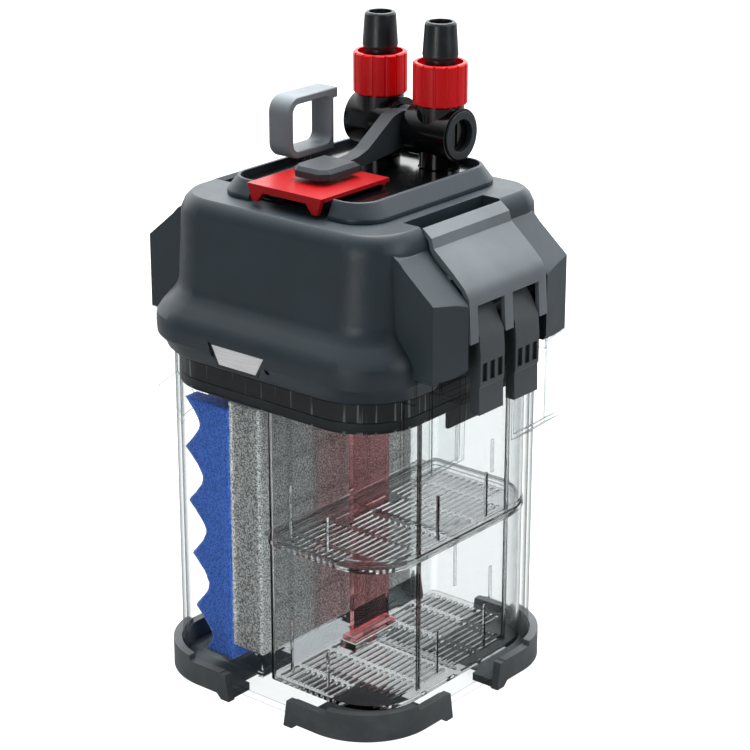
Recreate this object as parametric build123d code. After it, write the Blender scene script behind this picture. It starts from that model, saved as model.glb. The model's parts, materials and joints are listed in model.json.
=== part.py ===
from build123d import *
import os
from math import cos, pi, sin

# Canister filter for an aquarium. Millimetres, +Z up, origin on the floor under the middle of the base.
# +X and -X are the latch sides, -Y is the front with the badge, +Y is the back with the hose valve.

# ---- driving dimensions -------------------------------------------------------------------------
CAN_HALF = 84.0            # half width of the square canister
CAN_R = 39.0               # its corner radius
CAN_WALL = 2.4
CAN_FLOOR_Z = 5.0
CAN_FLOOR_T = 2.6
CAN_TOP = 201.5
HEAD_SEAM = 202.0          # lower edge of the head shell
HEAD_TOP = 291.0
HEAD_WALL = 3.0
SIDE_FIT = 0.4             # gap between the head skirt and the canister wall
PLATE_Z = (202.2, 205.2)   # base plate that closes the head from below
SKIRT_Z = 183.3            # lower edge of the skirt that reaches into the canister
FIN_Y = (35.0, 59.5)       # inner and outer |y| of the four latch fins
FIN_X = (107.2, 102.6)     # how far each fin reaches out at its inner and outer |y|
FIN_Z = 216.0
RECESS_X = 80.0            # wall behind each latch
RECESS_Y = 34.8
POCKET_X = 62.3            # slot in the top that takes the handle's upper edge
POCKET_Z = 258.0
LATCH_Y = 34.2
LATCH_PIVOT = (83.0, 271.0)
HOOK_PIVOT = (96.0, 243.0)
PIN_R = 1.6
RUN = 0.06                 # radial clearance of a running fit
DECK_C = 5.0               # the raised deck is centred this far behind the middle
VALVE_Y = 47.9             # axis of the valve barrels
VALVE_Z = 317.6
PORT_X = 21.6              # the two hose lines
BARREL_R = 15.2
BARREL_BORE = 12.4
NECK_R = 9.5
NUT_Z = (334.1, 357.6)
NUT_R = 15.4
CONE_TOP = 380.0
HOSE_BORE = 6.5
MOTOR_C = (0.0, -18.0)
SHAFT_R = 2.0
PRIMER_C = (-38.6, 3.0)
PRIMER_BORE = 7.0
BASKET_X = (-4.0, 78.3)
BASKET_Y = (-73.5, 77.6)
BASKET_R = 32.0
BASKET_WALL = 1.7
BASKET_FLOOR = 1.8
LOWER_Z = (15.4, 103.4)
UPPER_Z = (98.0, 182.6)
NEST = 2.2                 # the foot of the upper basket stands this far inside the rim of the lower one
LIFT_BAR_X = 10.0
BAR_FOOT_Z = 22.0
FOAM_Y = 69.0
WAVE_PITCH = 33.0
WAVE_TOP = 173.4           # height at which the uppermost crest would be, just above the foam
WAVE_CREST = -71.7         # x of the crests at the top
WAVE_DEPTH = 12.4
WAVE_ROUND = 0.35          # how round the hollows between the crests are
WAVE_LEAN = 0.045          # how much the crests draw back per millimetre down
FOOT_HALF = 89.4           # outer face of the corner feet
FOOT_START = 23.6          # each foot runs from here to the corner
FOOT_SHELF = 14.0          # width of the shelf under the canister
COVER_Z = 186.2            # underside of the impeller cover
WINDOW_Y = (3.6, 27.2)     # window in the latch handle
PRONG_Y = (5.0, 26.4)      # prong of the hook behind it
GLAND_C = (30.0, 262.0)    # x and z of the lead's way out at the back

os.makedirs("parts", exist_ok=True)


# ---- helpers ------------------------------------------------------------------------------------
def block(x, y, z):
    """Box between the two values given on each axis."""
    size = (x[1] - x[0], y[1] - y[0], z[1] - z[0])
    middle = ((x[0] + x[1]) / 2, (y[0] + y[1]) / 2, (z[0] + z[1]) / 2)
    return Pos(*middle) * Box(*size)


def section(z, half_x, half_y, radius, centre_y=0.0):
    """Rounded rectangle lying at height z."""
    return Pos(0, centre_y, z) * RectangleRounded(2 * half_x, 2 * half_y, radius)


def rounded_prism(half_x, half_y, radius, z, centre_y=0.0):
    return extrude(section(z[0], half_x, half_y, radius, centre_y), z[1] - z[0])


def stack(levels, centre_y=0.0):
    """Ruled loft through rounded rectangles (z, half x, half y, corner radius)."""
    faces = [section(z, hx, hy, r, centre_y) for z, hx, hy, r in levels]
    return loft(faces, ruled=True)


def rod(radius, z, centre=(0.0, 0.0)):
    """Upright cylinder between two heights."""
    return Pos(centre[0], centre[1], (z[0] + z[1]) / 2) * Cylinder(radius, z[1] - z[0])


def tube(outer, inner, z, centre=(0.0, 0.0)):
    return rod(outer, z, centre) - rod(inner, z, centre)


def rod_x(radius, x, centre):
    """Cylinder along X, with centre = (y, z)."""
    return Pos((x[0] + x[1]) / 2, centre[0], centre[1]) * Rot(0, 90, 0) * Cylinder(radius, x[1] - x[0])


def rod_y(radius, y, centre):
    """Cylinder along Y, with centre = (x, z)."""
    return Pos(centre[0], (y[0] + y[1]) / 2, centre[1]) * Rot(90, 0, 0) * Cylinder(radius, y[1] - y[0])


def slab_y(points, y):
    """Outline in (x, z), extruded between two y values."""
    face = make_face(Polyline(*[(x, 0, z) for x, z in points], close=True).edges())
    body = extrude(face, y[1] - y[0], dir=(0, 1, 0))
    return Pos(0, y[0], 0) * body


def slab_x(points, x):
    """Outline in (y, z), extruded between two x values."""
    face = make_face(Polyline(*[(0, y, z) for y, z in points], close=True).edges())
    body = extrude(face, x[1] - x[0], dir=(1, 0, 0))
    return Pos(x[0], 0, 0) * body


def cone_y_up(radius_low, radius_high, z, centre):
    return Pos(centre[0], centre[1], (z[0] + z[1]) / 2) * Cone(radius_low, radius_high, z[1] - z[0])


def both_ways(shape):
    """The shape and its copy on the far side in Y."""
    return shape + mirror(shape, Plane.XZ)


def turned(shape, side):
    """The shape as made for the +X side, or turned half round for the -X side."""
    return shape if side == "right" else Rot(0, 0, 180) * shape


def keep(shape, node):
    export_step(shape, f"parts/{node}.step")


def fin_taper(inset):
    """Upright prism between the faces of a fin; its outer face leans inward away from the latch."""
    outline = [(60, FIN_Y[0]), (FIN_X[0] - inset, FIN_Y[0]), (FIN_X[1] - inset, FIN_Y[1]), (60, FIN_Y[1])]
    return extrude(make_face(Polyline(*outline, close=True).edges()), 320)


# ---- canister and feet --------------------------------------------------------------------------
def ear(points, y, inset, trim):
    """Wedge on the side of the canister, without the part inside the canister."""
    return (slab_y(points, y) & fin_taper(inset)) - trim


def canister_body():
    outer = rounded_prism(CAN_HALF, CAN_HALF, CAN_R, (CAN_FLOOR_Z, CAN_TOP))
    inner_half = CAN_HALF - CAN_WALL
    floor_top = CAN_FLOOR_Z + CAN_FLOOR_T
    inner = rounded_prism(inner_half, inner_half, CAN_R - CAN_WALL, (floor_top, CAN_TOP + 1))
    body = outer - inner
    trim = outer + block((0, 90.6), (-70, 70), (CAN_TOP - 0.1, FIN_Z + 5))
    reach = FIN_X[0]
    shell = [(78, 146), (reach - 0.8, 168), (reach, FIN_Z - 0.4), (78, FIN_Z - 0.4)]
    hollow = [(78, 149), (reach - 2.6, 169), (reach, FIN_Z), (78, FIN_Z)]
    wedge = ear(shell, (FIN_Y[0] + 1.5, FIN_Y[1]), 0, trim)
    wedge -= ear(hollow, (FIN_Y[0] + 3.3, FIN_Y[1] - 1.8), 1.8, trim)
    ears = both_ways(wedge)
    ledge = block((CAN_HALF - 1, 97), (-27, 27), (194, 197))
    body += ears + Rot(0, 0, 180) * ears
    body += ledge + Rot(0, 0, 180) * ledge
    return body - inner


def corner_foot(sign_x, sign_y):
    """Bumper round one lower corner, with end blocks that carry the weight and a shelf under the canister."""
    half, start = FOOT_HALF, FOOT_START
    ring = rounded_prism(half, half, CAN_R + 4.6, (3.2, 17.0))
    ring -= rounded_prism(CAN_HALF + 0.3, CAN_HALF + 0.3, CAN_R + 0.3, (CAN_FLOOR_Z - 0.2, 18))
    ring &= block((start + 4, half + 1), (start + 4, half + 1), (0, 18))
    rise = rounded_prism(half, half, CAN_R + 4.6, (16.9, 20.0))
    rise -= rounded_prism(CAN_HALF + 0.8, CAN_HALF + 0.8, CAN_R + 0.8, (16, 21))
    rise &= block((52, half + 1), (52, half + 1), (16, 21))
    plate = block((start, CAN_HALF), (start, CAN_HALF), (1.4, CAN_FLOOR_Z - 0.2))
    plate &= rounded_prism(CAN_HALF + 0.3, CAN_HALF + 0.3, CAN_R + 0.3, (0, 6))
    shelf = CAN_HALF - FOOT_SHELF
    plate -= block((start - 1, shelf), (start - 1, shelf), (0, CAN_FLOOR_Z))
    leg = [(start - 2.6, 0), (start + 3.6, 0), (start + 7.4, 3.7), (start + 9, 16.5), (start, 16.5)]
    end = slab_y(leg, (CAN_HALF + 0.3, half))
    sole = block((start - 1.2, start + 4), (CAN_HALF - 14, CAN_HALF + 0.4), (0, CAN_FLOOR_Z - 0.2))
    ends = end + sole
    ends += mirror(ends, Plane(origin=(0, 0, 0), z_dir=(1, -1, 0)))
    foot = ring + rise + plate + ends
    if sign_x < 0:
        foot = mirror(foot, Plane.YZ)
    if sign_y < 0:
        foot = mirror(foot, Plane.XZ)
    return foot


# ---- filter media -------------------------------------------------------------------------------
def foam_frame():
    """Clear carrier: bottom tray, slotted back wall and a loop over the top of the foams."""
    back = block((-12.4, -10.4), (-70, 70), (12, 181.5))
    for row in range(5):
        low = 24 + row * 30
        for column in range(6):
            left = -66 + column * 22.5
            back -= block((-13, -10), (left, left + 19.5), (low, low + 26))
    tray = block((-66, -10.4), (-70, 70), (12, 14))
    step = block((-35.6, -12.4), (-69, 69), (13.9, 24.5)) - block((-33.6, -14.4), (-67, 67), (13, 22.5))
    loop = block((-66, -10.4), (-71, 71), (177.5, 181.5)) - block((-62.5, -13.5), (-67.5, 67.5), (177, 182))
    posts = block((-36.4, -33), (70, 71.6), (12, 181.5)) + block((-14, -10.4), (69.9, 71.6), (12, 181.5))
    return back + tray + step + loop + both_ways(posts)


def wave_outline():
    """Blue foam seen from the front: flat back, and a left face of rounded hollows between sharp crests."""
    low, high = 14.3, 171.2
    count = 96
    steepest = (1 + WAVE_ROUND ** 2) ** 0.5
    points = [(-36.2, low), (-36.2, high)]
    for i in range(count + 1):
        z = high + (low - high) * i / count
        turn = (z - WAVE_TOP) / WAVE_PITCH % 1.0
        from_hollow = abs(2 * turn - 1)
        hollow = (steepest - (from_hollow ** 2 + WAVE_ROUND ** 2) ** 0.5) / (steepest - WAVE_ROUND)
        points.append((WAVE_CREST + (WAVE_TOP - z) * WAVE_LEAN + WAVE_DEPTH * hollow, z))
    return points


def blue_foam():
    return slab_y(wave_outline(), (-FOAM_Y, FOAM_Y))


def grey_foam():
    return block((-36.0, -12.7), (-FOAM_Y + 0.3, FOAM_Y - 0.3), (24.7, 176.0))


def basket_outline(inset):
    """Plan of a basket: square corners beside the sponges, round ones that follow the canister."""
    low, high = BASKET_Y[0] + inset, BASKET_Y[1] - inset
    width = BASKET_X[1] - BASKET_X[0] - 2 * inset
    face = Pos((BASKET_X[0] + BASKET_X[1]) / 2, (low + high) / 2) * Rectangle(width, high - low)
    face = fillet([v for v in face.vertices() if v.X > 50], BASKET_R - inset)
    return fillet([v for v in face.vertices() if v.X < 5], 4.5 - 0.8 * inset)


def basket_slice(inset, z):
    return extrude(Pos(0, 0, z[0]) * basket_outline(inset), z[1] - z[0])


SLOT_ROWS = ((-68.6, -53.6), (-50.6, -27.0), (-24.0, -3.2), (3.2, 25.6), (28.6, 52.6), (55.6, 71.6))
SLOT_PITCH = 4.4
SLOT_WIDTH = 2.2


def floor_slots(z):
    """Long round-ended slots along Y, in rows with solid bands between them, clear of the walls."""
    slots = []
    for y0, y1 in SLOT_ROWS:
        nearest_end = BASKET_Y[0] if y0 < 0 else BASKET_Y[1]
        reach = max(abs(y0), abs(y1))
        over = max(0.0, reach - (abs(nearest_end) - BASKET_R))
        limit = BASKET_X[1] - BASKET_R + max(0.0, (BASKET_R - 5) ** 2 - over ** 2) ** 0.5
        for column in range(17):
            x = BASKET_X[0] + 6 + column * SLOT_PITCH
            beside_bar = abs(x - LIFT_BAR_X) < 4.2 and reach < 30
            if x + SLOT_WIDTH / 2 < limit and not beside_bar:
                oval = SlotOverall(y1 - y0, SLOT_WIDTH, rotation=90)
                slots.append(extrude(Pos(x, (y0 + y1) / 2, z[0]) * oval, z[1] - z[0]))
    return slots


def basket_details(body, z0, z1, hole):
    """Cuts the floor and wall slits, and adds the middle rib and the seams on the side wall."""
    floor_top = z0 + BASKET_FLOOR
    inner_x = (BASKET_X[0] + 4.2, BASKET_X[1] - 4.2)
    body = body.cut(*floor_slots((z0 - 1, floor_top + 1)))
    body += block(inner_x, (-0.7, 0.7), (floor_top - 0.1, floor_top + 1.6))
    for y in (-40.0, 40.0):
        for shift in (-1.05, 1.05):
            seam = (y + shift - 0.45, y + shift + 0.45)
            body += block((BASKET_X[1] - 0.4, BASKET_X[1] + 0.9), seam, (z0 + 6.5, z1))
    for y in BASKET_Y:
        body -= block((13.2, 14.3), (y - 3, y + 3), (z0 + 9, z0 + 42))
        body -= block((40.0, 41.1), (y - 3, y + 3), (z0 + 9, z0 + 30))
    for y in (-22.0, 22.0):
        body -= block((BASKET_X[1] - 3, BASKET_X[1] + 1), (y - 0.6, y + 0.6), (z0 + 9, z0 + 36))
    return body - block(*hole, (z0 - 1, floor_top + 8))


def lower_basket():
    """Open box with a slotted floor; a lip round its top, which hooks over towards the sponges."""
    z0, z1 = LOWER_Z
    body = basket_slice(0, LOWER_Z) - basket_slice(BASKET_WALL, (z0 + BASKET_FLOOR, z1 + 1))
    lip = basket_slice(-0.8, (z1 - 3, z1)) - basket_slice(0.5, (z1 - 4, z1 + 1))
    hook = block((BASKET_X[0] - 5.6, BASKET_X[0] + 0.5), (BASKET_Y[0] + 5, BASKET_Y[1] - 5), (z1 - 2, z1))
    hole = ((LIFT_BAR_X - 1.9, LIFT_BAR_X + 1.9), (-4.3, 4.3))
    body = basket_details(body + lip + hook, z0, z1, hole)
    seat = block((LIFT_BAR_X - 6, LIFT_BAR_X + 6), (-20, 20), (z0 + BASKET_FLOOR - 0.1, BAR_FOOT_Z - 0.2))
    return body + seat - block(*hole, (z0 - 1, BAR_FOOT_Z))


def upper_basket():
    """The same box on a stepped foot, which stands inside the rim of the lower basket."""
    z0, z1 = UPPER_Z
    step = LOWER_Z[1] + 0.2
    inner_foot = NEST + BASKET_WALL
    body = basket_slice(0, (step, z1)) + basket_slice(NEST, (z0, step))
    body -= basket_slice(inner_foot, (z0 + BASKET_FLOOR, z1))
    body -= basket_slice(BASKET_WALL, (step + BASKET_FLOOR, z1 + 1))
    hole = ((LIFT_BAR_X - 2.0, LIFT_BAR_X + 2.0), (-16.6, 16.6))
    return basket_details(body, z0, z1, hole)


def basket_lift_bar():
    """Flat bar that stands through both baskets on a wide foot; a short tail locks it in the floor."""
    thick = (LIFT_BAR_X - 1.65, LIFT_BAR_X + 1.65)
    blade = block(thick, (-16.2, 16.2), (BAR_FOOT_Z, 181.5)) - rod_x(4.5, (0, 20), (0, 173))
    foot = block((LIFT_BAR_X - 5, LIFT_BAR_X + 5), (-19, 19), (BAR_FOOT_Z, BAR_FOOT_Z + 3))
    return blade + foot + block(thick, (-4, 4), (BAR_FOOT_Z - 6, BAR_FOOT_Z + 0.1))


# ---- head ---------------------------------------------------------------------------------------
# Levels of the head shell: height, half width, half depth, front and rear corner radius.
SKIN = [(202.0, 84.7, 84.7, 39, 39), (204.4, 86.6, 86.6, 39, 39), (208.0, 87.4, 87.4, 38, 38),
        (212.0, 89.6, 89.6, 36, 36), (218.6, 89.8, 89.8, 35.5, 35.5), (223.6, 89.4, 89.2, 35, 35),
        (228.0, 87.3, 86.4, 34, 33), (232.5, 84.4, 82.6, 33, 30), (237.0, 81.8, 79.2, 32, 26),
        (241.5, 80.6, 77.6, 31, 23), (282.5, 78.6, 74.4, 28, 20), (287.6, 76.6, 72.3, 26.5, 18.5),
        (290.2, 74.4, 69.9, 25, 17), (HEAD_TOP, 73.2, 68.7, 24, 16)]
FIN_OUTLINE = [(74, FIN_Z), (FIN_X[0] - 2, FIN_Z), (FIN_X[0], 219), (FIN_X[0], 253.4), (105.6, 256.2),
               (102.3, 259.0), (91.0, 268.4), (84.0, 274.2), (79.6, 278.6), (74, 282.0)]


def head_section(level, inset=0.0):
    """Plan of the head at one level; its rear corners are tighter than its front ones."""
    z, half_x, half_y, front, rear = level
    face = Rectangle(2 * (half_x - inset), 2 * (half_y - inset))
    face = fillet([v for v in face.vertices() if v.Y < 0], front - inset)
    face = fillet([v for v in face.vertices() if v.Y > half_y / 2], rear - inset)
    return Pos(0, 0, z) * face


def badge_plane():
    """Plane of the front badge: it leans with the lower part of the bulge."""
    lean = 8 * pi / 180
    return Plane(origin=(-9.5, -87.6, 211.2), x_dir=(1, 0, 0), z_dir=(0, -cos(lean), -sin(lean)))


def badge_outline(grow):
    """Badge shape, wider at the top, grown outward by the given amount."""
    return [(-20.6 - grow, 7.2 + grow), (20.6 + grow, 7.2 + grow), (13.2 + grow, -7.2 - grow),
            (-16.6 - grow, -7.2 - grow)]


def badge_prism(grow, low, high):
    plane = badge_plane()
    face = plane * make_face(Polyline(*badge_outline(grow), close=True).edges())
    body = extrude(face, high - low, dir=plane.z_dir)
    return Pos(*(plane.z_dir * low)) * body


def cavity():
    """Room inside the head, less the solid walls behind the latches."""
    floor = (81.5, 81.5, 36.5, 36.5)
    levels = [(HEAD_SEAM - 1, *floor), (PLATE_Z[1] + 0.1, *floor)]
    faces = [head_section(level) for level in levels]
    faces += [head_section(level, HEAD_WALL) for level in SKIN[2:-3]]
    faces.append(head_section((HEAD_TOP - HEAD_WALL, 74.0, 70.0, 24, 16)))
    room = loft(faces, ruled=True)
    for side in (1, -1):
        low, high = sorted((side * 77.2, side * 95))
        room -= block((low, high), (-37.8, 37.8), (PLATE_Z[1] + 0.1, 265))
        low, high = sorted((side * (POCKET_X - 2.6), side * 95))
        room -= block((low, high), (-37.8, 37.8), (POCKET_Z - 2.6, 300))
    return room


def head_shell():
    body = loft([head_section(level) for level in SKIN], ruled=True)
    fins = both_ways(slab_y(FIN_OUTLINE, FIN_Y) & fin_taper(0))
    fins += Rot(0, 0, 180) * fins
    body += fins
    body -= cavity()
    recess = block((RECESS_X, 120), (-RECESS_Y, RECESS_Y), (190, 300))
    recess += block((POCKET_X, 120), (-RECESS_Y, RECESS_Y), (POCKET_Z, 300))
    for x, z in (LATCH_PIVOT, HOOK_PIVOT):
        recess += rod_y(PIN_R + 0.02, (-38, 38), (x, z))
    body -= recess + Rot(0, 0, 180) * recess
    for x in (-PORT_X, PORT_X):
        body -= rod(12.1, (280, 300), (x, VALVE_Y))
    body -= rod(9.3, (280, 300), PRIMER_C)
    body -= badge_prism(0.15, -1.2, 6)
    body -= block((10.6, 13.6), (-95, -86.0), (208.5, 211.5))
    body -= rod_y(6.2, (60, 90), GLAND_C)
    return body


def head_base_plate():
    half = CAN_HALF - CAN_WALL - SIDE_FIT
    body = rounded_prism(half, half, 36.2, (SKIRT_Z, PLATE_Z[1]))
    body -= rounded_prism(half - 2.6, half - 2.6, 33.6, (SKIRT_Z - 1, PLATE_Z[0]))
    groove = rounded_prism(half + 1, half + 1, 37.2, (184.6, 189.8))
    groove -= rounded_prism(half - 1.4, half - 1.4, 34.8, (184, 190))
    body -= groove
    body -= rod(11.6, (200, 207), MOTOR_C)
    for x in (-PORT_X, PORT_X):
        body -= rod(9.9, (200, 207), (x, VALVE_Y))
    body -= rod(3.0, (200, 207), PRIMER_C)
    return body + block((half - 2.2, half), (-18, 18), (173.4, SKIRT_Z + 0.1))


def sealing_gasket():
    half = CAN_HALF - CAN_WALL - SIDE_FIT
    ring = rounded_prism(half + 0.25, half + 0.25, 36.4, (184.7, 189.7))
    return ring - rounded_prism(half - 1.35, half - 1.35, 34.85, (184, 190))


def deck_frame():
    """Raised rounded frame on top of the head, with sloped sides and a gap at the front for the tab."""
    outer = stack([(291.0, 55, 61.5, 19), (293.4, 55, 61.5, 19), (299.6, 50.2, 58, 16), (301.5, 48.8, 57, 15)],
                  DECK_C)
    outer -= rounded_prism(46.8, 55.6, 13, (290, 303), DECK_C)
    outer -= block((-28.2, 28.2), (-60, -40), (290.5, 303))
    return outer


def deck_plate():
    """Glossy floor inside the deck frame, holed for the two valve necks and the primer rod."""
    body = rounded_prism(46.6, 55.4, 12.8, (HEAD_TOP, 297.6), DECK_C)
    body -= block((-28.4, 28.4), (-60, -44.5), (292.4, 299))
    for x in (-PORT_X, PORT_X):
        body -= rod(12.1, (290, 299), (x, VALVE_Y))
    return body - rod(3.0, (290, 299), PRIMER_C)


def port_sockets():
    """Two tubes from the base plate to the deck that take the necks of the valve block."""
    return [tube(11.9, 9.9, (PLATE_Z[1], 297.0), (x, VALVE_Y)) for x in (-PORT_X, PORT_X)]


def primer_cylinder():
    body = tube(9.0, PRIMER_BORE, (PLATE_Z[1], HEAD_TOP), PRIMER_C)
    body += rod(9.0, (288.4, HEAD_TOP), PRIMER_C)
    return body - rod(3.0, (280, 300), PRIMER_C)


def motor_housing():
    """Sealed can round the windings, with a well in the middle where the magnet turns."""
    body = rod(27.0, (PLATE_Z[1], 266), MOTOR_C)
    body -= rod(24.6, (PLATE_Z[1] + 2, 263), MOTOR_C)
    body += rod(13.4, (PLATE_Z[1], 255), MOTOR_C)
    return body - rod(11.6, (PLATE_Z[1] - 1, 253), MOTOR_C)


def stator_core():
    """Stack of steel plates: a ring with two pole gaps."""
    ring = tube(24.2, 13.7, (216, 232), MOTOR_C)
    gap = block((-3, 3), (MOTOR_C[1] - 30, MOTOR_C[1] + 30), (215, 233))
    return ring - gap


def motor_coil():
    return tube(23.8, 14.0, (232.3, 250), MOTOR_C)


def shaft_bushes():
    """Two rubber-backed bushes that hold the ends of the shaft."""
    top = tube(6.0, SHAFT_R, (247, 253), MOTOR_C)
    low = tube(4.6, SHAFT_R, (COVER_Z, COVER_Z + 4), MOTOR_C)
    return [top, low]


def impeller_shaft():
    return rod(SHAFT_R, (187, 251.5), MOTOR_C)


def impeller_cover():
    """Volute under the base plate: open middle, three spokes to the lower bush, side outlet."""
    body = tube(26.0, 23.6, (COVER_Z, PLATE_Z[0]), MOTOR_C)
    floor = tube(26.0, 12.0, (COVER_Z, COVER_Z + 2.2), MOTOR_C)
    spoke = block((-1.5, 1.5), (5.2, 13.0), (COVER_Z, COVER_Z + 2.2))
    for i in range(3):
        floor += Pos(MOTOR_C[0], MOTOR_C[1], 0) * Rot(0, 0, 120 * i) * spoke
    hub = tube(6.0, 4.6, (COVER_Z, COVER_Z + 4), MOTOR_C)
    body += floor + hub
    body -= block((12, 30), (MOTOR_C[1] + 8, MOTOR_C[1] + 20), (190, 200))
    return body


def impeller_magnet():
    return tube(9.6, SHAFT_R + RUN, (201, 246), MOTOR_C)


def impeller():
    """Hub disc with curved blades under it."""
    body = rod(20.0, (198.2, 200.2), MOTOR_C) + rod(5.2, (192, 201), MOTOR_C)
    blade = block((4.0, 19.0), (-0.7, 0.7), (192, 198.4))
    for i in range(6):
        body += Pos(MOTOR_C[0], MOTOR_C[1], 0) * Rot(0, 0, 60 * i) * Pos(0, 2.2, 0) * Rot(0, 0, -14) * blade
    return body - rod(SHAFT_R + RUN, (190, 203), MOTOR_C)


def head_screws():
    """Self-tapping screws that hold the base plate, heads down."""
    screws = []
    for x, y in ((-66, -40), (66, -40), (-66, 40), (66, 40), (-30, -68), (30, -68)):
        screws.append(rod(3.2, (199.6, PLATE_Z[0]), (x, y)))
    return screws


def cord_gland():
    """Bush in the back wall where the mains lead comes out; the lead itself is not part of the model."""
    body = rod_y(6.1, (71.0, 77.0), GLAND_C) + rod_y(8.4, (77.0, 80.2), GLAND_C)
    return body - rod_y(3.6, (60, 90), GLAND_C)


# ---- latches ------------------------------------------------------------------------------------
def latch_handle():
    """Curved cover plate with two windows, hung on a pin under its upper edge."""
    outer = [(75.2, 290.4), (81.2, 285.8), (82.8, 280.4), (96.4, 269.0), (103.4, 262.4), (106.6, 257.2),
             (108.2, 232.4)]
    inner = [(105.7, 232.4), (104.1, 256.2), (101.4, 260.6), (94.6, 267.0), (80.6, 278.7), (78.9, 284.3),
             (74.0, 288.2)]
    body = slab_y(outer + inner, (-LATCH_Y, LATCH_Y))
    window = block((98, 112), WINDOW_Y, (229, 252.2))
    body -= both_ways(window)
    lug = rod_y(3.7, (0, 3), LATCH_PIVOT)
    lug += slab_y([(79.6, 272.5), (84.6, 267.8), (95.2, 266.9), (81.4, 278.9)], (0, 3))
    for y in (-33.6, -12.0, 9.0, 30.6):
        body += Pos(0, y, 0) * lug
    return body - rod_y(PIN_R + RUN, (-40, 40), LATCH_PIVOT)


def latch_hook():
    """Two-pronged claw behind the handle; each prong shows through one window."""
    outline = [(92.6, 246.4), (97.0, 250.6), (102.6, 244.6), (108.0, 234.6), (108.9, 224.6), (108.9, 207.0),
               (108.2, 205.6), (108.6, 190.2), (102.4, 190.2), (102.2, 206.0), (100.6, 218.0), (92.4, 240.0)]
    prong = slab_y(outline, PRONG_Y)
    for i in range(3):
        left = PRONG_Y[0] + 1.9 + 6.75 * i
        prong -= block((106.6, 112), (left, left + 4.1), (208.7, 219.2))
    body = both_ways(prong) + rod_y(3.4, (-5.5, 5.5), HOOK_PIVOT)
    return body - rod_y(PIN_R + RUN, (-40, 40), HOOK_PIVOT)


def latch_pin(pivot):
    return rod_y(PIN_R, (-37.5, 37.5), pivot)


# ---- tab, primer --------------------------------------------------------------------------------
def release_tab():
    """Flat plate with an arched front lip that hangs lower at its two corners."""
    plate = block((-26.6, 26.6), (-56.7, -2.6), (300.4, 302.6))
    lip = [(-26.6, 302.6), (26.6, 302.6), (23.4, 293.0), (19.6, 293.0), (15.4, 298.4), (-15.4, 298.4),
           (-19.6, 293.0), (-23.4, 293.0)]
    face = make_face(Polyline(*[(x, 0, z) for x, z in lip], close=True).edges())
    front = Pos(0, -59.4, 0) * extrude(face, 2.8, dir=(0, 1, 0))
    barrel = rod_x(2.2, (-24, 24), (-4.2, 300.0))
    return plate + front + barrel


def primer_handle():
    """D-shaped loop: bottom bar, front bar with big corners, arched top and a rear web."""
    y0, y1, z0, z1 = -20.0, 22.0, 304.9, 340.0
    outer = block((PRIMER_C[0] - 7.6, PRIMER_C[0] + 7.6), (y0, y1), (z0, z1))
    outer = fillet([e for e in outer.edges().filter_by(Axis.X) if e.center().Y < 0], 9.0)
    across = (PRIMER_C[0] - 9, PRIMER_C[0] + 9)
    hole = block(across, (y0 + 4.2, y1 - 6.0), (z0 + 4.2, z1 - 4.2))
    hole = fillet(hole.edges().filter_by(Axis.X), 5.0)
    return outer - hole - block(across, (y1 - 3.4, y1 + 1), (z0 - 1, z1 - 6))


def primer_piston():
    return rod(PRIMER_BORE - RUN, (238, 246), PRIMER_C) + rod(2.6, (246, 304.9), PRIMER_C)


# ---- valve block --------------------------------------------------------------------------------
def valve_body():
    """Two barrels on one axis, with necks down into the head and threaded branches up to the hoses."""
    axis = (VALVE_Y, VALVE_Z)
    body = block((-12, 12), (VALVE_Y + 12.6, VALVE_Y + 16.6), (312, 323))
    for sign in (-1, 1):
        x = sign * PORT_X
        inner, outer = sorted((sign * 5.6, sign * 36.3))
        body += rod_x(BARREL_R, (inner, outer), axis)
        body += rod(11.6, (298.2, 312), (x, VALVE_Y)) + rod(NECK_R, (284, 300), (x, VALVE_Y))
        body += rod(13.6, (VALVE_Z, 333.4), (x, VALVE_Y)) + rod(12.6, (330, 347), (x, VALVE_Y))
    body -= block((-5.6, 5.6), (VALVE_Y - 20, VALVE_Y + 12.2), (302.2, 340))
    for sign in (-1, 1):
        x = sign * PORT_X
        inner, outer = sorted((sign * 8.6, sign * 40))
        body -= rod_x(BARREL_BORE, (inner, outer), axis)
        inner, outer = sorted((0, sign * 12))
        body -= rod_x(5.06, (inner, outer), axis)
        body -= rod(7.2, (283, 348), (x, VALVE_Y))
        body -= tube(NECK_R + 1, 8.1, (287.0, 289.4), (x, VALVE_Y))
    return body


def neck_seals():
    return [tube(NECK_R + 0.2, 8.15, (287.1, 289.3), (x, VALVE_Y)) for x in (-PORT_X, PORT_X)]


def valve_end_ring(side):
    axis = (VALVE_Y, VALVE_Z)
    body = rod_x(BARREL_BORE - 0.05, (33.4, 36.0), axis) + rod_x(13.6, (36.3, 37.4), axis)
    body += rod_x(BARREL_BORE - 0.05, (35.9, 36.4), axis)
    body -= rod_x(9.3, (30, 40), axis)
    return body if side == "right" else mirror(body, Plane.YZ)


def valve_rotor(side):
    """Plug that turns in its barrel with the lever; a cross bore lets the water through."""
    axis = (VALVE_Y, VALVE_Z)
    body = rod_x(BARREL_BORE - 0.08, (8.8, 33.2), axis) + rod_x(5.0, (4.6, 9), axis)
    body -= rod(7.0, (300, 340), (PORT_X, VALVE_Y))
    body -= block((31.0, 34), (VALVE_Y - 1.0, VALVE_Y + 1.0), (VALVE_Z - 7, VALVE_Z + 7))
    return body if side == "right" else mirror(body, Plane.YZ)


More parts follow.
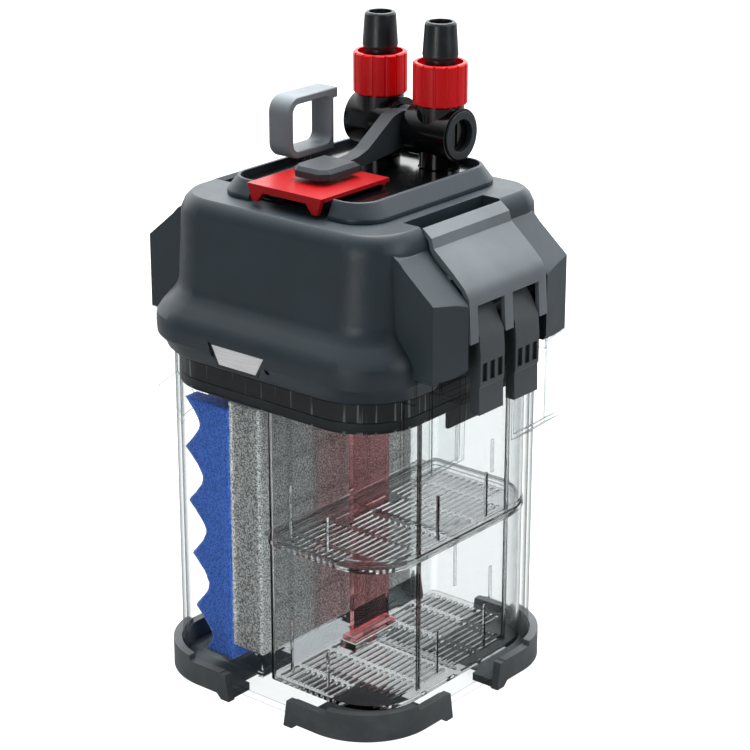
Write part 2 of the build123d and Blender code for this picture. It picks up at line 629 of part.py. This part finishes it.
def valve_lever():
    """Wide finger paddle, slim arm and a wedge that rises to the hub between the barrels."""
    paddle = block((-13, 13), (-41, -11), (305.2, 311.0))
    paddle = chamfer(paddle.edges().filter_by(Axis.Z).sort_by(Axis.Y)[:2], 5.0)
    paddle = chamfer(paddle.faces().sort_by(Axis.Z)[-1].edges(), 2.2)
    arm = slab_x([(-14, 304.8), (-14, 309.2), (-2, 310.4), (6, 313.0), (28, 327.2), (36, 329.0), (44, 327.8),
                  (44, 308.4), (36, 307.8), (18, 305.6), (4, 304.2)], (-4.5, 4.5))
    hub = rod_x(11.2, (-4.5, 4.5), (VALVE_Y, VALVE_Z))
    return paddle + arm + hub


def hose_connector(x):
    """Hollow rubber cone with a collar under the nut."""
    centre = (x, VALVE_Y)
    body = rod(12.2, (347.2, 350.0), centre) + rod(8.6, (350, 361), centre)
    body += cone_y_up(9.6, 10.1, (359.6, 361.6), centre)
    body += cone_y_up(10.1, 8.9, (361.6, CONE_TOP - 1.2), centre)
    body += cone_y_up(8.9, 8.0, (CONE_TOP - 1.2, CONE_TOP), centre)
    return body - rod(HOSE_BORE, (346, 381), centre)


def lock_nut(x):
    """Ribbed union nut; its inner lip presses the collar of the hose connector down."""
    centre = (x, VALVE_Y)
    body = rod(NUT_R, NUT_Z, centre)
    top = body.edges().filter_by(GeomType.CIRCLE).sort_by(Axis.Z)
    body = chamfer(top, 0.8)
    count = 14
    for i in range(count):
        angle = 2 * pi * (i + 0.5) / count
        place = (x + (NUT_R + 0.5) * cos(angle), VALVE_Y + (NUT_R + 0.5) * sin(angle))
        body -= rod(1.1, (NUT_Z[0] - 1, NUT_Z[1] + 1), place)
    body -= rod(12.9, (NUT_Z[0] - 1, 350.4), centre) + rod(10.6, (340, 359), centre)
    return body - rod(12.9, (353.2, 359), centre)


# ---- all nodes ----------------------------------------------------------------------------------
keep(canister_body(), "canister_body")
for end_name, sign_y in (("front", -1), ("rear", 1)):
    for side_name, sign_x in (("left", -1), ("right", 1)):
        keep(corner_foot(sign_x, sign_y), f"foot_{end_name}_{side_name}")
keep(foam_frame(), "foam_frame")
keep(blue_foam(), "blue_foam")
keep(grey_foam(), "grey_foam")
keep(lower_basket(), "lower_basket")
keep(upper_basket(), "upper_basket")
keep(basket_lift_bar(), "basket_lift_bar")

keep(head_shell(), "head_shell")
keep(head_base_plate(), "head_base_plate")
keep(sealing_gasket(), "sealing_gasket")
keep(deck_frame(), "deck_frame")
keep(deck_plate(), "deck_plate")
keep(Compound(port_sockets()), "port_sockets")
keep(primer_cylinder(), "primer_cylinder")
keep(motor_housing(), "motor_housing")
keep(stator_core(), "stator_core")
keep(motor_coil(), "motor_coil")
keep(Compound(shaft_bushes()), "shaft_bushes")
keep(impeller_shaft(), "impeller_shaft")
keep(impeller_cover(), "impeller_cover")
keep(Compound(head_screws()), "head_screws")
keep(cord_gland(), "cord_gland")
keep(badge_prism(0.0, -1.0, 0.4) - badge_prism(-1.4, -0.4, 2), "badge_bezel")
keep(badge_prism(-1.45, -0.4, 0.2), "badge_plate")
keep(impeller_magnet(), "impeller_magnet")
keep(impeller(), "impeller")

for side in ("left", "right"):
    keep(turned(latch_handle(), side), f"latch_handle_{side}")
    keep(turned(latch_hook(), side), f"latch_hook_{side}")
    keep(turned(latch_pin(LATCH_PIVOT), side), f"latch_pin_{side}")
    keep(turned(latch_pin(HOOK_PIVOT), side), f"hook_pin_{side}")

keep(release_tab(), "release_tab")
keep(primer_handle(), "primer_handle")
keep(primer_piston(), "primer_piston")
keep(valve_body(), "valve_body")
keep(Compound(neck_seals()), "neck_seals")
keep(valve_lever(), "valve_lever")
for side, sign in (("left", -1), ("right", 1)):
    keep(valve_end_ring(side), f"valve_end_ring_{side}")
    keep(valve_rotor(side), f"valve_rotor_{side}")
    keep(hose_connector(sign * PORT_X), f"hose_connector_{side}")
    keep(lock_nut(sign * PORT_X), f"lock_nut_{side}")
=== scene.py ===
import json
import math

import bmesh
import bpy
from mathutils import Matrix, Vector, noise


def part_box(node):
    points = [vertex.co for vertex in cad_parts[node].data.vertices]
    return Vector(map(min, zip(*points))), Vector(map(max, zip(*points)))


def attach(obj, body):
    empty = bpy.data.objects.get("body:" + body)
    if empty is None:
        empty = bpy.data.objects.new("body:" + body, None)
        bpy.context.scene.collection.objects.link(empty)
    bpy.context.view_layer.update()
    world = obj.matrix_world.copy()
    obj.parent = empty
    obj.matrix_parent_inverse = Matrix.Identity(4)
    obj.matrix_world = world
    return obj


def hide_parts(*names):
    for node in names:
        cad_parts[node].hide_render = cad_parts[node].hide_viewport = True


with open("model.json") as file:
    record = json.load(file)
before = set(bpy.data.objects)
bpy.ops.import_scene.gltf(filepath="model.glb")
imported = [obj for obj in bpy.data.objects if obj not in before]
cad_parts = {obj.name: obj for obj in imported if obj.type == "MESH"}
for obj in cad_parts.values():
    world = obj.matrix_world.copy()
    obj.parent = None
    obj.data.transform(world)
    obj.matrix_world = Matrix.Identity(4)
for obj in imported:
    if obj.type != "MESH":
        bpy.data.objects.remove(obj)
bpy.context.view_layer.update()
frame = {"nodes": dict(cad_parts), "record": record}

# Canister filter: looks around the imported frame. Metres, +Z up, -Y front, +X right-hand latch.
NODES = frame["nodes"]
MM = 0.001

# ---- camera, floor and light --------------------------------------------------------------------
CAMERA_AZIMUTH = math.radians(39.665)
CAMERA_ELEVATION = math.radians(20.324)
CAMERA_DISTANCE = 1.3569
CAMERA_TARGET = Vector((0.01424, 0.0, 0.18391))
CAMERA_LENS = 114.86
SENSOR = 36.0
BRIGHT_SIDE = (-0.52, 0.62, 0.58)   # direction of the brightest part of the studio, behind the object
FRONT_LEVEL = 0.05    # world strength as light, away from the bright side
BACK_LEVEL = 2.4      # and towards it
LIGHT_TARGET = Vector((0, 0, 0.2))
FLOOR_HALF = 6.0
CLEAR_BOUNCES = 24    # enough to pass through every clear wall; straight-through rays get twice as many
FLOOR_GLOW = 1.1      # floor brightness to the eye; as light on the object it only returns what falls on it


def towards(azimuth, elevation):
    """Unit vector from the target towards a viewer; azimuth 0 is in front, at -Y."""
    return Vector((math.sin(azimuth) * math.cos(elevation), -math.cos(azimuth) * math.cos(elevation),
                   math.sin(elevation)))


def aim(thing, place, target):
    thing.location = place
    thing.rotation_euler = (target - place).to_track_quat("-Z", "Y").to_euler()


def link(thing):
    bpy.context.scene.collection.objects.link(thing)
    return thing


def make_camera():
    data = bpy.data.cameras.new("camera")
    data.lens = CAMERA_LENS
    data.sensor_width = SENSOR
    camera = link(bpy.data.objects.new("camera", data))
    back = towards(CAMERA_AZIMUTH, CAMERA_ELEVATION)
    aim(camera, CAMERA_TARGET + back * CAMERA_DISTANCE, CAMERA_TARGET)
    bpy.context.scene.camera = camera


def area_light(name, azimuth, elevation, distance, size, power, colour=(1, 1, 1)):
    data = bpy.data.lights.new(name, "AREA")
    data.shape = "RECTANGLE"
    data.size, data.size_y = size
    data.energy = power
    data.color = colour
    lamp = link(bpy.data.objects.new(name, data))
    direction = towards(math.radians(azimuth), math.radians(elevation))
    aim(lamp, LIGHT_TARGET + direction * distance, LIGHT_TARGET)


def seen_directly(nodes, links):
    """1 for rays from the eye or on their way through clear plastic, 0 for light falling on a surface."""
    path = nodes.new("ShaderNodeLightPath")
    seen = nodes.new("ShaderNodeMath")
    seen.operation = "MAXIMUM"
    links.new(path.outputs["Is Camera Ray"], seen.inputs[0])
    links.new(path.outputs["Is Transmission Ray"], seen.inputs[1])
    return seen.outputs[0]


def make_world():
    """White to the eye and through clear plastic; as light, brighter behind the object than in front."""
    world = bpy.data.worlds.new("studio")
    bpy.context.scene.world = world
    world.use_nodes = True
    tree = world.node_tree
    nodes, links = tree.nodes, tree.links
    place = nodes.new("ShaderNodeTexCoord")
    towards_back = nodes.new("ShaderNodeVectorMath")
    towards_back.operation = "DOT_PRODUCT"
    towards_back.inputs[1].default_value = BRIGHT_SIDE
    links.new(place.outputs["Generated"], towards_back.inputs[0])
    level = nodes.new("ShaderNodeMapRange")
    level.interpolation_type = "SMOOTHSTEP"
    for index, number in enumerate((-0.1, 1.0, FRONT_LEVEL, BACK_LEVEL), start=1):
        level.inputs[index].default_value = number
    links.new(towards_back.outputs["Value"], level.inputs[0])
    strength = nodes.new("ShaderNodeMix")
    links.new(seen_directly(nodes, links), strength.inputs[0])
    links.new(level.outputs[0], strength.inputs[2])
    strength.inputs[3].default_value = 1.0
    links.new(strength.outputs[0], nodes["Background"].inputs["Strength"])
    nodes["Background"].inputs["Color"].default_value = (1.0, 1.0, 1.0, 1)


def make_studio():
    scene = bpy.context.scene
    scene.view_settings.view_transform = "Standard"
    scene.cycles.transparent_max_bounces = 2 * CLEAR_BOUNCES
    scene.cycles.max_bounces = CLEAR_BOUNCES
    scene.cycles.transmission_bounces = CLEAR_BOUNCES
    make_world()
    area_light("top_light", 200, 72, 1.4, (1.1, 1.1), 30)
    area_light("side_light", 100, 22, 1.5, (0.5, 0.8), 5)
    area_light("front_light", 8, 10, 1.8, (0.5, 1.0), 8)
    mesh = bpy.data.meshes.new("floor")
    corners = [(x * FLOOR_HALF, y * FLOOR_HALF, 0) for x, y in ((-1, -1), (1, -1), (1, 1), (-1, 1))]
    mesh.from_pydata(corners, [], [(0, 1, 2, 3)])
    floor = link(bpy.data.objects.new("floor", mesh))
    floor.data.materials.append(plain_floor())


# ---- node helpers -------------------------------------------------------------------------------
class Shader:
    """A material's node tree with short calls for the few node kinds used here."""

    def __init__(self, name):
        self.material = bpy.data.materials.new(name)
        self.material.use_nodes = True
        self.tree = self.material.node_tree
        self.nodes = self.tree.nodes
        self.bsdf = self.nodes["Principled BSDF"]
        self.place = self.nodes.new("ShaderNodeTexCoord").outputs["Object"]

    def join(self, output, target):
        self.tree.links.new(output, target)

    def put(self, **values):
        """Constants set on the Principled shader's own sockets."""
        for key, value in values.items():
            socket = self.bsdf.inputs[key.replace("_", " ")]
            socket.default_value = (*value, 1) if isinstance(value, tuple) and len(value) == 3 else value

    def noise(self, scale, detail=3.0, rough=0.55, stretch=None):
        node = self.nodes.new("ShaderNodeTexNoise")
        node.inputs["Scale"].default_value = scale
        node.inputs["Detail"].default_value = detail
        node.inputs["Roughness"].default_value = rough
        self.join(self.stretched(stretch), node.inputs["Vector"])
        return node.outputs["Fac"]

    def cells(self, scale):
        node = self.nodes.new("ShaderNodeTexVoronoi")
        node.inputs["Scale"].default_value = scale
        self.join(self.place, node.inputs["Vector"])
        return node.outputs["Distance"]

    def stretched(self, stretch):
        if stretch is None:
            return self.place
        node = self.nodes.new("ShaderNodeMapping")
        node.inputs["Scale"].default_value = stretch
        self.join(self.place, node.inputs["Vector"])
        return node.outputs["Vector"]

    def remap(self, value, low, high, to_low, to_high):
        node = self.nodes.new("ShaderNodeMapRange")
        for index, number in enumerate((low, high, to_low, to_high), start=1):
            node.inputs[index].default_value = number
        self.join(value, node.inputs[0])
        return node.outputs[0]

    def mix(self, factor, colour_a, colour_b):
        node = self.nodes.new("ShaderNodeMix")
        node.data_type = "RGBA"
        for socket, colour in ((node.inputs[6], colour_a), (node.inputs[7], colour_b)):
            if isinstance(colour, tuple):
                socket.default_value = (*colour, 1)
            else:
                self.join(colour, socket)
        self.join(factor, node.inputs[0])
        return node.outputs[2]

    def multiply(self, first, second):
        node = self.nodes.new("ShaderNodeMath")
        node.operation = "MULTIPLY"
        self.join(first, node.inputs[0])
        if isinstance(second, float):
            node.inputs[1].default_value = second
        else:
            self.join(second, node.inputs[1])
        return node.outputs[0]

    def corners(self, radius):
        """1 along sharp edges and 0 elsewhere, from how far a rounded normal leaves the true one."""
        rounded = self.nodes.new("ShaderNodeBevel")
        rounded.samples = 4
        rounded.inputs["Radius"].default_value = radius
        true = self.nodes.new("ShaderNodeNewGeometry").outputs["True Normal"]
        agree = self.nodes.new("ShaderNodeVectorMath")
        agree.operation = "DOT_PRODUCT"
        self.join(rounded.outputs["Normal"], agree.inputs[0])
        self.join(true, agree.inputs[1])
        return self.remap(agree.outputs["Value"], 0.995, 0.93, 0.0, 1.0)

    def bump(self, height, strength, distance):
        node = self.nodes.new("ShaderNodeBump")
        node.inputs["Strength"].default_value = strength
        node.inputs["Distance"].default_value = distance
        self.join(height, node.inputs["Height"])
        self.join(node.outputs["Normal"], self.bsdf.inputs["Normal"])


# ---- materials ----------------------------------------------------------------------------------
def plain_floor():
    s = Shader("floor")
    s.put(Roughness=0.6, Emission_Color=(1.0, 1.0, 1.0))
    tone = s.mix(s.noise(3.0), (0.22, 0.22, 0.225), (0.24, 0.24, 0.24))
    s.join(tone, s.bsdf.inputs["Base Color"])
    s.join(s.multiply(seen_directly(s.nodes, s.tree.links), FLOOR_GLOW), s.bsdf.inputs["Emission Strength"])
    return s.material


def moulded(name, colour, rough, grain=0.12, coat=0.0, spread=0.16, shine=0.5):
    """Injection-moulded plastic: a fine spark-eroded grain, faint flow mottling and handling shine."""
    s = Shader(name)
    darker = tuple(c * (1 - spread) for c in colour)
    lighter = tuple(c * (1 + spread) + 0.002 for c in colour)
    s.join(s.mix(s.remap(s.noise(22.0, 4.0), 0.3, 0.7, 0, 1), darker, lighter), s.bsdf.inputs["Base Color"])
    s.join(s.remap(s.noise(60.0, 5.0, 0.6), 0.3, 0.7, rough - 0.05, rough + 0.05), s.bsdf.inputs["Roughness"])
    s.put(Coat_Weight=coat, Coat_Roughness=0.12, Specular_IOR_Level=shine)
    s.bump(s.noise(1900.0, 2.0, 0.5), grain, 0.00012)
    return s.material


def glint_painted(name, colour, painted_glint):
    """Dark moulding behind a clear skirt, with painted glints: thin upright light streaks in its base colour
    stand in for reflections.
    """
    s = Shader(name)
    # painted reflection: thin upright streaks of the glint colour mixed into the base colour
    painted_glint_mask = s.remap(s.noise(1.0, 2.0, 0.5, (420.0, 420.0, 14.0)), 0.62, 0.68, 0.0, 1.0)
    s.join(s.mix(painted_glint_mask, colour, painted_glint), s.bsdf.inputs["Base Color"])
    s.join(s.remap(s.noise(60.0), 0.3, 0.7, 0.28, 0.36), s.bsdf.inputs["Roughness"])
    return s.material


def rubber(name, colour, rough=0.62):
    """Soft rubber: matt with a pebble grain and a dusty bloom."""
    s = Shader(name)
    bloom = tuple(c * 1.5 + 0.01 for c in colour)
    dust = s.remap(s.noise(45.0, 5.0, 0.65), 0.42, 0.75, 0, 1)
    s.join(s.mix(dust, colour, bloom), s.bsdf.inputs["Base Color"])
    s.join(s.remap(s.noise(90.0), 0.3, 0.7, rough - 0.07, rough + 0.07), s.bsdf.inputs["Roughness"])
    s.bump(s.cells(900.0), 0.12, 0.00015)
    return s.material


def solid_clear(name, tint, grazing_shade_tint, edge_line_shade, rough=0.03, ior=1.12, line_mm=0.6):
    """Clear plastic that bends what is behind it: darker edge-on and along its edges by painted shade, clear
    to the lamps.
    """
    s = Shader(name)
    facing = s.nodes.new("ShaderNodeLayerWeight")
    facing.inputs["Blend"].default_value = 0.35
    # painted shade: the tint darkens where the wall is seen edge-on and a dark line runs along its sharp
    # edges, standing in for the shade refraction gives
    facing_shade_tint = s.mix(facing.outputs["Facing"], tint, grazing_shade_tint)
    s.join(s.mix(s.corners(line_mm * MM), facing_shade_tint, edge_line_shade), s.bsdf.inputs["Base Color"])
    s.join(s.remap(s.noise(70.0, 3.0), 0.35, 0.7, rough * 0.6, rough * 1.4), s.bsdf.inputs["Roughness"])
    s.put(Transmission_Weight=1.0, IOR=ior)
    path = s.nodes.new("ShaderNodeLightPath")
    through = s.nodes.new("ShaderNodeBsdfTransparent")
    through.inputs["Color"].default_value = (*tint, 1)
    blend = s.nodes.new("ShaderNodeMixShader")
    s.join(path.outputs["Is Shadow Ray"], blend.inputs[0])
    s.join(s.bsdf.outputs[0], blend.inputs[1])
    s.join(through.outputs[0], blend.inputs[2])
    s.join(blend.outputs[0], s.nodes["Material Output"].inputs["Surface"])
    return s.material


def thin_clear(name, tint, grazing_shade_tint, edge_line_shade, body, share=0.0, rough=0.05, line_mm=0.8):
    """Clear wall that light passes straight through, under a glossy skin.

    tint is its colour face-on; the second colour is painted shade where it is seen edge-on and the third
    painted shade along its moulded edges, standing in for the dark edges that refraction and reflection give
    clear plastic.
    body is the plastic's own colour and share how much of it shows.
    """
    s = Shader(name)
    facing = s.nodes.new("ShaderNodeLayerWeight")
    facing.inputs["Blend"].default_value = 0.5
    through = s.nodes.new("ShaderNodeBsdfTransparent")
    # painted shade: the see-through colour darkens edge-on and along sharp edges
    grazing_shade_mask = s.remap(facing.outputs["Facing"], 0.66, 0.99, 0.0, 1.0)
    s.join(s.mix(s.corners(line_mm * MM), s.mix(grazing_shade_mask, tint, grazing_shade_tint), edge_line_shade), through.inputs["Color"])
    s.join(s.mix(s.noise(40.0), body, tuple(c * 0.85 for c in body)), s.bsdf.inputs["Base Color"])
    s.join(s.remap(s.noise(70.0, 3.0), 0.35, 0.7, rough * 0.6, rough * 1.4), s.bsdf.inputs["Roughness"])
    grazing = s.remap(facing.outputs["Facing"], 0.25, 1.0, 0.0, 1.0)
    skin = s.remap(s.multiply(s.multiply(grazing, grazing), grazing), 0.0, 1.0, share, 0.75)
    path = s.nodes.new("ShaderNodeLightPath")
    skin = s.multiply(skin, s.remap(path.outputs["Is Shadow Ray"], 0, 1, 1, 0))
    blend = s.nodes.new("ShaderNodeMixShader")
    s.join(skin, blend.inputs[0])
    s.join(through.outputs[0], blend.inputs[1])
    s.join(s.bsdf.outputs[0], blend.inputs[2])
    s.join(blend.outputs[0], s.nodes["Material Output"].inputs["Surface"])
    return s.material


def sponge(name, dark, mid, light, scale):
    """Open-cell foam: painted shade in the pores and painted light on the strands between them, mottled in
    larger patches.
    """
    s = Shader(name)
    pore_shade_mask = s.remap(s.cells(scale), 0.15, 0.62, 0, 1)
    patches = s.remap(s.noise(scale * 0.45, 3.0, 0.6), 0.36, 0.64, 0, 1)
    base = s.mix(patches, dark, mid)
    # painted light and shade: cell borders take the light colour as lit strands, cell middles keep the darker
    # mottled tone as pore shade
    s.join(s.mix(pore_shade_mask, base, light), s.bsdf.inputs["Base Color"])
    s.put(Roughness=0.95, Sheen_Weight=0.25, Sheen_Roughness=0.5)
    s.bump(s.cells(scale), 0.7, 0.0006)
    return s.material


def speckle(name, dark, light, scale):
    """Bonded foam crumb: hard black and white speckle."""
    s = Shader(name)
    grains = s.remap(s.noise(scale, 4.0, 0.75), 0.46, 0.56, 0, 1)
    s.join(s.mix(grains, dark, light), s.bsdf.inputs["Base Color"])
    s.put(Roughness=0.95, Sheen_Weight=0.2, Sheen_Roughness=0.5)
    s.bump(s.noise(scale * 1.3, 3.0), 0.5, 0.0005)
    return s.material


def metal(name, colour, rough, stretch=(400.0, 400.0, 12.0), metallic=1.0):
    """Brushed or drawn metal with fine lines along one direction."""
    s = Shader(name)
    lines = s.noise(1.0, 3.0, 0.6, stretch)
    dull = tuple(c * 0.8 for c in colour)
    s.join(s.mix(s.remap(lines, 0.3, 0.7, 0, 1), dull, colour), s.bsdf.inputs["Base Color"])
    s.join(s.remap(lines, 0.3, 0.7, rough - 0.06, rough + 0.08), s.bsdf.inputs["Roughness"])
    s.put(Metallic=metallic)
    s.bump(lines, 0.08, 0.00005)
    return s.material


def make_materials():
    return {
        # clear plastics: each one's second and third colours are painted shade, edge-on and along sharp edges
        "canister_clear": thin_clear("canister_clear", (0.955, 0.963, 0.963), (0.38, 0.42, 0.43),
                                     (0.13, 0.16, 0.17), (0.10, 0.11, 0.11)),
        "clear_plastic": solid_clear("clear_plastic", (0.95, 0.955, 0.955), (0.60, 0.64, 0.65),
                                     (0.40, 0.43, 0.44)),
        "frame_clear": solid_clear("frame_clear", (0.96, 0.965, 0.965), (0.72, 0.75, 0.76),
                                   (0.82, 0.84, 0.84), ior=1.04),
        "smoked_plastic": solid_clear("smoked_plastic", (0.965, 0.97, 0.97), (0.16, 0.18, 0.19),
                                      (0.015, 0.018, 0.02), ior=1.16),
        "red_clear_plastic": solid_clear("red_clear_plastic", (0.90, 0.45, 0.46), (0.62, 0.20, 0.21),
                                         (0.34, 0.04, 0.05), ior=1.12),
        # blue sponge: its last colour is painted light on the strands; the pores keep the darker tones as
        # painted shade
        "blue_sponge": sponge("blue_sponge", (0.004, 0.022, 0.24), (0.015, 0.075, 0.46),
                              (0.07, 0.22, 0.80), 900.0),
        "grey_sponge": speckle("grey_sponge", (0.12, 0.125, 0.122), (0.70, 0.71, 0.70), 1100.0),
        "bumper_rubber": rubber("bumper_rubber", (0.068, 0.078, 0.083)),
        "head_plastic": moulded("head_plastic", (0.017, 0.030, 0.040), 0.44),
        "dark_plastic": moulded("dark_plastic", (0.012, 0.020, 0.026), 0.40),
        "gloss_black": moulded("gloss_black", (0.0012, 0.0016, 0.0022), 0.16, 0.03, coat=0.3, shine=0.4),
        "seal_rubber": rubber("seal_rubber", (0.004, 0.008, 0.011), 0.36),
        "latch_grey": moulded("latch_grey", (0.118, 0.140, 0.156), 0.46),
        "lever_grey": moulded("lever_grey", (0.024, 0.031, 0.037), 0.50, shine=0.30),
        "primer_grey": moulded("primer_grey", (0.165, 0.195, 0.215), 0.50),
        "hook_grey": moulded("hook_grey", (0.045, 0.055, 0.062), 0.42),
        # head base plate: near-black, with painted glints standing in for reflections in the clear skirt
        "skirt_black": glint_painted("skirt_black", (0.007, 0.009, 0.011), (0.16, 0.18, 0.19)),
        "red_plastic": moulded("red_plastic", (0.68, 0.003, 0.006), 0.32, 0.05, spread=0.1, shine=0.25),
        "tab_red": moulded("tab_red", (0.36, 0.003, 0.005), 0.36, 0.05, spread=0.1, shine=0.2),
        "badge_silver": metal("badge_silver", (0.93, 0.94, 0.95), 0.36, (60.0, 1500.0, 1500.0), 0.1),
        "steel": metal("steel", (0.62, 0.62, 0.61), 0.28),
        "lamination_steel": metal("lamination_steel", (0.30, 0.30, 0.31), 0.45, (8.0, 8.0, 900.0)),
        "copper_winding": metal("copper_winding", (0.72, 0.36, 0.18), 0.33, (20.0, 20.0, 1400.0)),
        "ceramic": moulded("ceramic", (0.80, 0.79, 0.74), 0.22, 0.02, spread=0.04),
        "ferrite": moulded("ferrite", (0.05, 0.05, 0.055), 0.5),
    }


# ---- finishing the CAD nodes --------------------------------------------------------------------
UNROUNDED_SLOTS = ("clear_plastic", "smoked_plastic", "red_clear_plastic")
UNROUNDED_NODES = ("blue_foam", "grey_foam")   # the sponges below take their place
FINER = {"canister_body": "canister_clear", "foam_frame": "frame_clear", "head_base_plate": "skirt_black",
         "release_tab": "tab_red", "primer_handle": "primer_grey",
         "latch_hook_left": "hook_grey", "latch_hook_right": "hook_grey"}
EDGE_MM = {"head_shell": 0.9, "deck_frame": 0.7, "latch_handle": 0.6, "latch_hook": 0.5, "valve_lever": 0.8,
           "primer_handle": 0.9, "valve_body": 0.7, "lock_nut": 0.35, "release_tab": 0.5, "foot": 0.8}
OTHER_EDGE_MM = 0.25


def edge_radius(node):
    for start, value in EDGE_MM.items():
        if node.startswith(start):
            return value * MM
    return OTHER_EDGE_MM * MM


def soften(thing, radius, segments=2):
    """Weld the tessellation and round its sharp edges."""
    for polygon in thing.data.polygons:
        polygon.use_smooth = True
    weld = thing.modifiers.new("weld", "WELD")
    weld.merge_threshold = 0.00001
    flat = thing.modifiers.new("flat", "DECIMATE")
    flat.decimate_type = "DISSOLVE"
    flat.angle_limit = math.radians(0.6)
    bevel = thing.modifiers.new("bevel", "BEVEL")
    bevel.width = radius
    bevel.segments = segments
    bevel.limit_method = "ANGLE"
    bevel.angle_limit = math.radians(28)
    bevel.use_clamp_overlap = True
    bevel.harden_normals = False
    normals = thing.modifiers.new("normals", "WEIGHTED_NORMAL")
    normals.keep_sharp = True


def finish_nodes(materials):
    slots = {part["node"]: part["material_slot"] for part in frame["record"]["subparts"]}
    for name, thing in NODES.items():
        slot = FINER.get(name, slots[name])
        thing.data.materials.clear()
        thing.data.materials.append(materials[slot])
        if name not in UNROUNDED_NODES and slot not in UNROUNDED_SLOTS:
            soften(thing, edge_radius(name))


# ---- sponges ------------------------------------------------------------------------------------
FOAM_STEP_Z = 2.2 * MM
FOAM_STEP_Y = 1.6 * FOAM_STEP_Z
FOAM_COLUMNS = 9


def grid_between(low, high, step):
    count = max(1, round((high - low) / step))
    return [low + (high - low) * i / count for i in range(count + 1)]


def foam_block(name, node, left_edge, roughness):
    """Closed foam slab on a fine grid. left_edge(z) gives its outer face; every point is pushed in a bit."""
    low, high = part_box(node)
    zs = grid_between(low.z, high.z, FOAM_STEP_Z)
    ys = grid_between(low.y, high.y, FOAM_STEP_Y)
    across = FOAM_COLUMNS
    mesh = bmesh.new()
    rings = []
    for z in zs:
        left = left_edge(z)
        ring = [(left, y) for y in ys]
        ring += [(left + (high.x - left) * i / across, ys[-1]) for i in range(1, across + 1)]
        ring += [(high.x, y) for y in reversed(ys[:-1])]
        ring += [(left + (high.x - left) * i / across, ys[0]) for i in range(across - 1, 0, -1)]
        rings.append([mesh.verts.new((x, y, z)) for x, y in ring])
    count = len(rings[0])
    for lower, upper in zip(rings, rings[1:]):
        for i in range(count):
            j = (i + 1) % count
            mesh.faces.new((lower[i], upper[i], upper[j], lower[j]))
    for ring in (rings[0], rings[-1]):
        bridge_cap(mesh, ring, len(ys), across)
    bmesh.ops.recalc_face_normals(mesh, faces=mesh.faces[:])
    mesh.normal_update()
    moves = []
    for vert in mesh.verts:
        wobble = noise.noise(vert.co * 190.0) + 0.8 * noise.noise(vert.co * 520.0)
        moves.append(vert.normal * (-roughness * (0.6 + 0.55 * wobble)))
    for vert, move in zip(mesh.verts, moves):
        vert.co += move
    data = bpy.data.meshes.new(name)
    mesh.to_mesh(data)
    mesh.free()
    for polygon in data.polygons:
        polygon.use_smooth = True
    return link(bpy.data.objects.new(name, data))


def bridge_cap(mesh, ring, rows, across):
    """Fills the top or bottom of the foam with quads between its two long sides."""
    left = ring[:rows]
    far = ring[rows:rows + across]
    right = ring[rows + across - 1:rows + across - 1 + rows]
    near = ring[rows + across - 1 + rows:]
    columns = [left]
    for i in range(1, across):
        column = []
        for k in range(rows):
            if k == 0:
                column.append(near[across - 1 - i])
            elif k == rows - 1:
                column.append(far[i - 1])
            else:
                share = i / across
                column.append(mesh.verts.new(left[k].co.lerp(right[rows - 1 - k].co, share)))
        columns.append(column)
    columns.append(list(reversed(right)))
    for a, b in zip(columns, columns[1:]):
        for k in range(rows - 1):
            mesh.faces.new((a[k], a[k + 1], b[k + 1], b[k]))


WAVE_PITCH = 33.0 * MM
WAVE_TOP = 173.4 * MM
WAVE_CREST = -71.7 * MM
WAVE_DEPTH = 12.4 * MM
WAVE_LEAN = 0.045
WAVE_ROUND = 0.35


def wave_left(z):
    """Outer face of the blue sponge: rounded hollows between sharp crests that lean in towards the bottom."""
    from_hollow = abs(2 * ((z - WAVE_TOP) / WAVE_PITCH % 1.0) - 1)
    steepest = math.hypot(1, WAVE_ROUND)
    hollow = (steepest - math.hypot(from_hollow, WAVE_ROUND)) / (steepest - WAVE_ROUND)
    return WAVE_CREST + (WAVE_TOP - z) * WAVE_LEAN + WAVE_DEPTH * hollow


def make_sponges(materials):
    blue = foam_block("blue_sponge", "blue_foam", wave_left, 0.55 * MM)
    grey_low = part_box("grey_foam")[0]
    grey = foam_block("grey_sponge", "grey_foam", lambda z: grey_low.x, 0.3 * MM)
    for piece, node, slot in ((blue, "blue_foam", "blue_sponge"), (grey, "grey_foam", "grey_sponge")):
        piece.data.materials.append(materials[slot])
        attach(piece, "foams")
        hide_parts(node)


MATERIALS = make_materials()
make_camera()
make_studio()
finish_nodes(MATERIALS)
make_sponges(MATERIALS)
